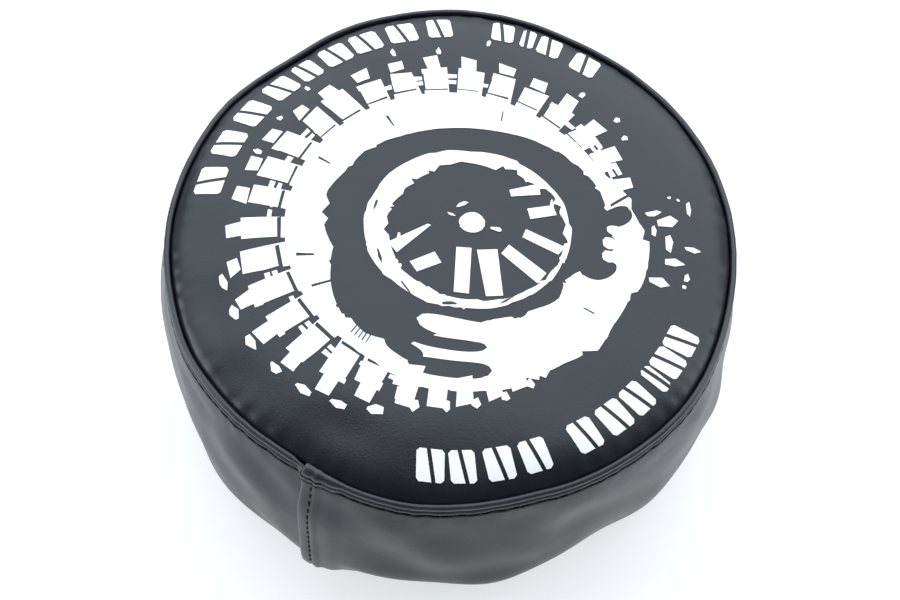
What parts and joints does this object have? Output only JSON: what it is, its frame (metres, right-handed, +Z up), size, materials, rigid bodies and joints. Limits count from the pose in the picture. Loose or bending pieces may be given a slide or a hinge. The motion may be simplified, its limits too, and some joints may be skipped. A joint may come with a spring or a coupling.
{
  "type": "spare tyre cover",
  "caption": "Slip-on round cover for a scale crawler's spare tyre: domed leatherette face with a printed wheel, ribbed seam, side band and elastic hem.",
  "frame": {"origin": "on the floor, in the middle of the box of the cover lying face up on its gathered back", "axes": "+Z up out of the printed face, +Y towards the top of the printed picture, -Y towards the viewer"},
  "size_m": [0.115, 0.115, 0.0506],
  "materials": {
    "leatherette": "fine-grained black coated fabric, satin",
    "print_film": "opaque white heat-transfer film",
    "thread": "black polyester sewing thread",
    "elastic": "black braided flat elastic"
  },
  "bodies": {
    "root": {"face_panel": "leatherette", "side_band": "leatherette", "elastic_band": "elastic", "face_seam_needle_thread": "thread", "face_seam_bobbin_thread": "thread", "topstitch_needle_thread": "thread", "topstitch_bobbin_thread": "thread", "hem_needle_thread": "thread", "hem_bobbin_thread": "thread", "lap_needle_thread": "thread", "lap_bobbin_thread": "thread", "elastic_bar_tack": "thread", "print_tread_lugs": "print_film", "print_sidewall": "print_film", "print_rim": "print_film", "print_spokes": "print_film", "print_hub": "print_film", "print_upper_marks": "print_film", "print_lower_marks": "print_film"}
  },
  "joints": []
}
